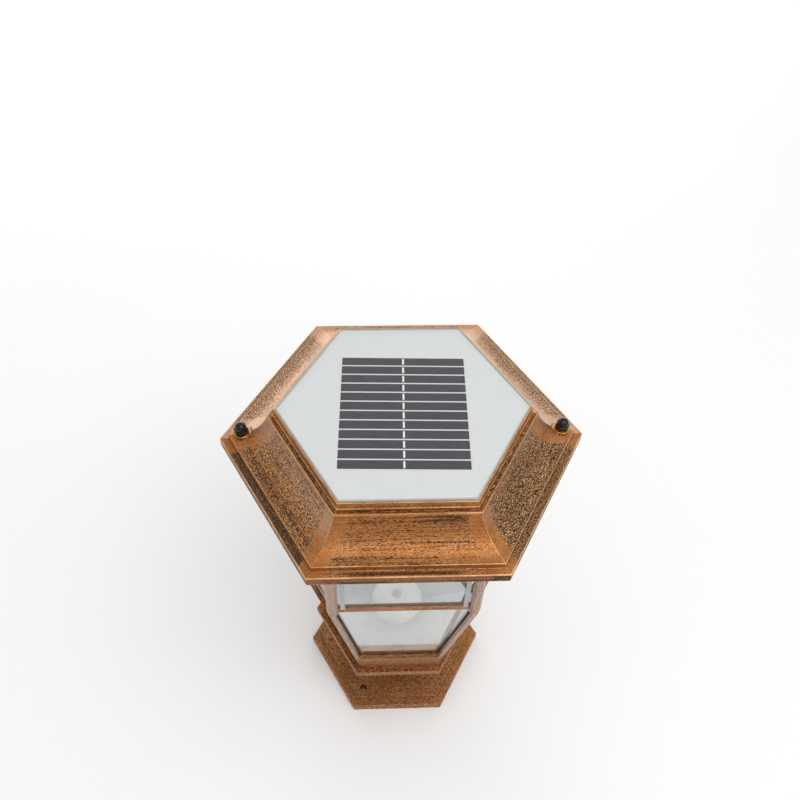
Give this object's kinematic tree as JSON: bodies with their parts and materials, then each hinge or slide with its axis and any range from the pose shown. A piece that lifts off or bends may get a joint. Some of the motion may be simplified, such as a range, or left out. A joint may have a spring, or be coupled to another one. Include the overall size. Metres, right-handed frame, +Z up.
{
  "type": "solar lantern",
  "caption": "Hexagonal solar lantern with a coved roof carrying a solar panel, a tapered glazed body on corner posts and a bolt-down pedestal.",
  "frame": {"origin": "centre of the underside of the pedestal foot", "axes": "+Z up, X through two opposite corners of the hexagon, -Y towards the front flat side"},
  "size_m": [0.232, 0.201, 0.3294],
  "materials": {
    "antique_copper": "antique brushed copper over a cast body, with near-black brown streaks",
    "black_nut": "glossy black plating",
    "brass_ring": "polished",
    "glazing_grey": "matte grey glazing bead",
    "zinc_steel": "bright zinc plate",
    "cell_silicon": "slate-blue polycrystalline silicon with fine grid lines",
    "panel_cover": "clear glossy",
    "pane_glass": "clear glossy",
    "white_backing": "smooth white",
    "ribbon_tin": "tinned, satin",
    "dark_seal": "soft matte",
    "housing_plastic": "fine moulded grain",
    "board_laminate": "green solder mask",
    "component_black": "moulded black",
    "led_package": "white package with a yellow lens",
    "lens_plastic": "frosted diffuser",
    "battery_wrap": "shrink sleeve, plain",
    "contact_nickel": "nickel plate",
    "lead_insulation": "extruded sleeve",
    "reflector_white": "satin white paint",
    "switch_black": "moulded black"
  },
  "bodies": {
    "lantern": {"top_frame": "antique_copper", "roof_studs": "zinc_steel", "bottom_frame": "antique_copper", "pane_clips": "zinc_steel", "reflector_tray": "reflector_white", "reflector_dome": "reflector_white", "tie_bolt": "black_nut", "tie_washer": "zinc_steel", "tie_nut": "zinc_steel", "pedestal_foot": "antique_copper", "pedestal_collar": "antique_copper", "pedestal_cup": "antique_copper", "waist_rail": "antique_copper", "glazing_beads": "glazing_grey", "corner_post_1": "antique_copper", "lower_pane_1": "pane_glass", "upper_pane_1": "pane_glass", "corner_post_2": "antique_copper", "lower_pane_2": "pane_glass", "upper_pane_2": "pane_glass", "corner_post_3": "antique_copper", "lower_pane_3": "pane_glass", "upper_pane_3": "pane_glass", "corner_post_4": "antique_copper", "lower_pane_4": "pane_glass", "upper_pane_4": "pane_glass", "corner_post_5": "antique_copper", "lower_pane_5": "pane_glass", "upper_pane_5": "pane_glass", "corner_post_6": "antique_copper", "lower_pane_6": "pane_glass", "upper_pane_6": "pane_glass"},
    "roof": {"roof_cap": "antique_copper", "panel_gasket": "dark_seal", "panel_backsheet": "white_backing", "solar_cells": "cell_silicon", "cell_ribbons": "ribbon_tin", "panel_glass": "panel_cover", "panel_seal": "dark_seal", "module_housing": "housing_plastic", "module_gasket": "dark_seal", "module_screws": "zinc_steel", "led_lens": "lens_plastic", "circuit_board": "board_laminate", "led_chips": "led_package", "board_components": "component_black", "panel_leads": "lead_insulation", "battery": "battery_wrap", "battery_contacts": "contact_nickel", "battery_leads": "lead_insulation", "door_pin": "zinc_steel", "switch_body": "component_black"},
    "washer_left": {"nut_washer_left": "brass_ring"},
    "nut_left": {"cap_nut_left": "black_nut"},
    "washer_right": {"nut_washer_right": "brass_ring"},
    "nut_right": {"cap_nut_right": "black_nut"},
    "battery_door": {"battery_door": "housing_plastic"},
    "switch_slider": {"switch_slider": "switch_black"}
  },
  "joints": [
    {"name": "roof_lift", "type": "slide", "parent": "lantern", "child": "roof", "axis": [0, 0, 1], "range_m": [0, 0.12]},
    {"name": "washer_left_lift", "type": "slide", "parent": "roof", "child": "washer_left", "axis": [0, 0, 1], "range_m": [0, 0.0044]},
    {"name": "nut_left_turn", "type": "hinge", "parent": "washer_left", "child": "nut_left", "pos_m": [-0.1015, 0, 0.31], "axis": [0, 0, 1], "range_deg": [0, 1981]},
    {"name": "washer_right_lift", "type": "slide", "parent": "roof", "child": "washer_right", "axis": [0, 0, 1], "range_m": [0, 0.0044]},
    {"name": "nut_right_turn", "type": "hinge", "parent": "washer_right", "child": "nut_right", "pos_m": [0.1015, 0, 0.31], "axis": [0, 0, 1], "range_deg": [0, 1981]},
    {"name": "battery_door_hinge", "type": "hinge", "parent": "roof", "child": "battery_door", "pos_m": [0, -0.043, 0.29], "axis": [-1, 0, 0], "range_deg": [0, 100]},
    {"name": "switch_slide", "type": "slide", "parent": "roof", "child": "switch_slider", "axis": [1, 0, 0], "range_m": [0, 0.004]}
  ],
  "couplings": [
    {"joint": "nut_left_turn", "follows": "washer_left_lift", "rad_per_m": 7854},
    {"joint": "nut_right_turn", "follows": "washer_right_lift", "rad_per_m": 7854}
  ]
}
